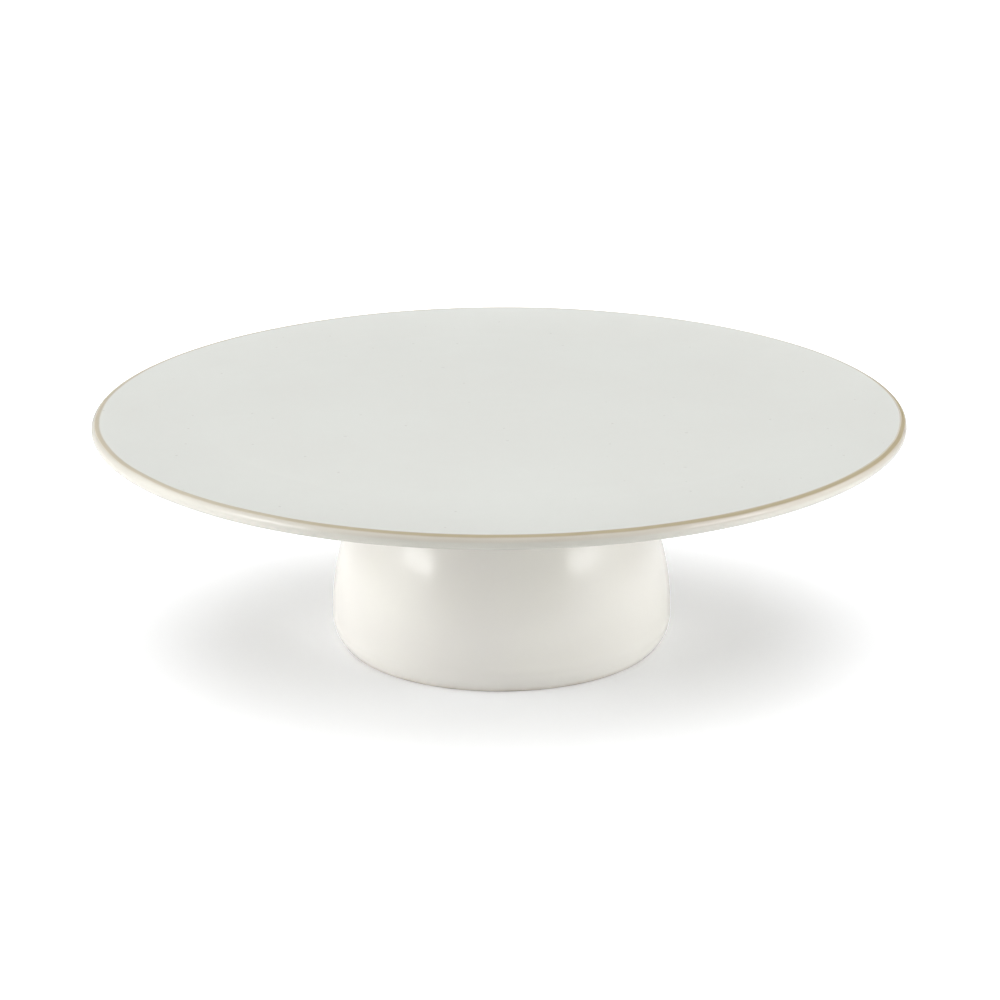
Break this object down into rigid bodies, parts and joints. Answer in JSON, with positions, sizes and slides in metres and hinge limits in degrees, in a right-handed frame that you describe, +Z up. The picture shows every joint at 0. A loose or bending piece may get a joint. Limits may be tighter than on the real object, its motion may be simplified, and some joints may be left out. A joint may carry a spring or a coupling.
{
  "type": "cake stand",
  "caption": "Low pedestal cake stand: round flat plate with a thick rounded rim on a hollow domed foot, open underneath, the two joined by a slip-bedded seam.",
  "frame": {"origin": "centre of the foot ring's underside, on the surface that the stand rests on", "axes": "+Z up along the turning axis, from the foot ring to the cake surface; +X and +Y are any two square directions, because the stand is round"},
  "size_m": [0.3, 0.3, 0.09],
  "materials": {
    "plate_glaze": "satin, faintly grey-green white with fine iron specks, breaking to buff on the rim",
    "pedestal_glaze": "gloss, warm white, dry buff foot ring",
    "fired_slip": "matt fired clay under a thin glaze"
  },
  "bodies": {
    "root": {"plate": "plate_glaze", "pedestal": "pedestal_glaze", "luting_slip": "fired_slip"}
  },
  "joints": []
}
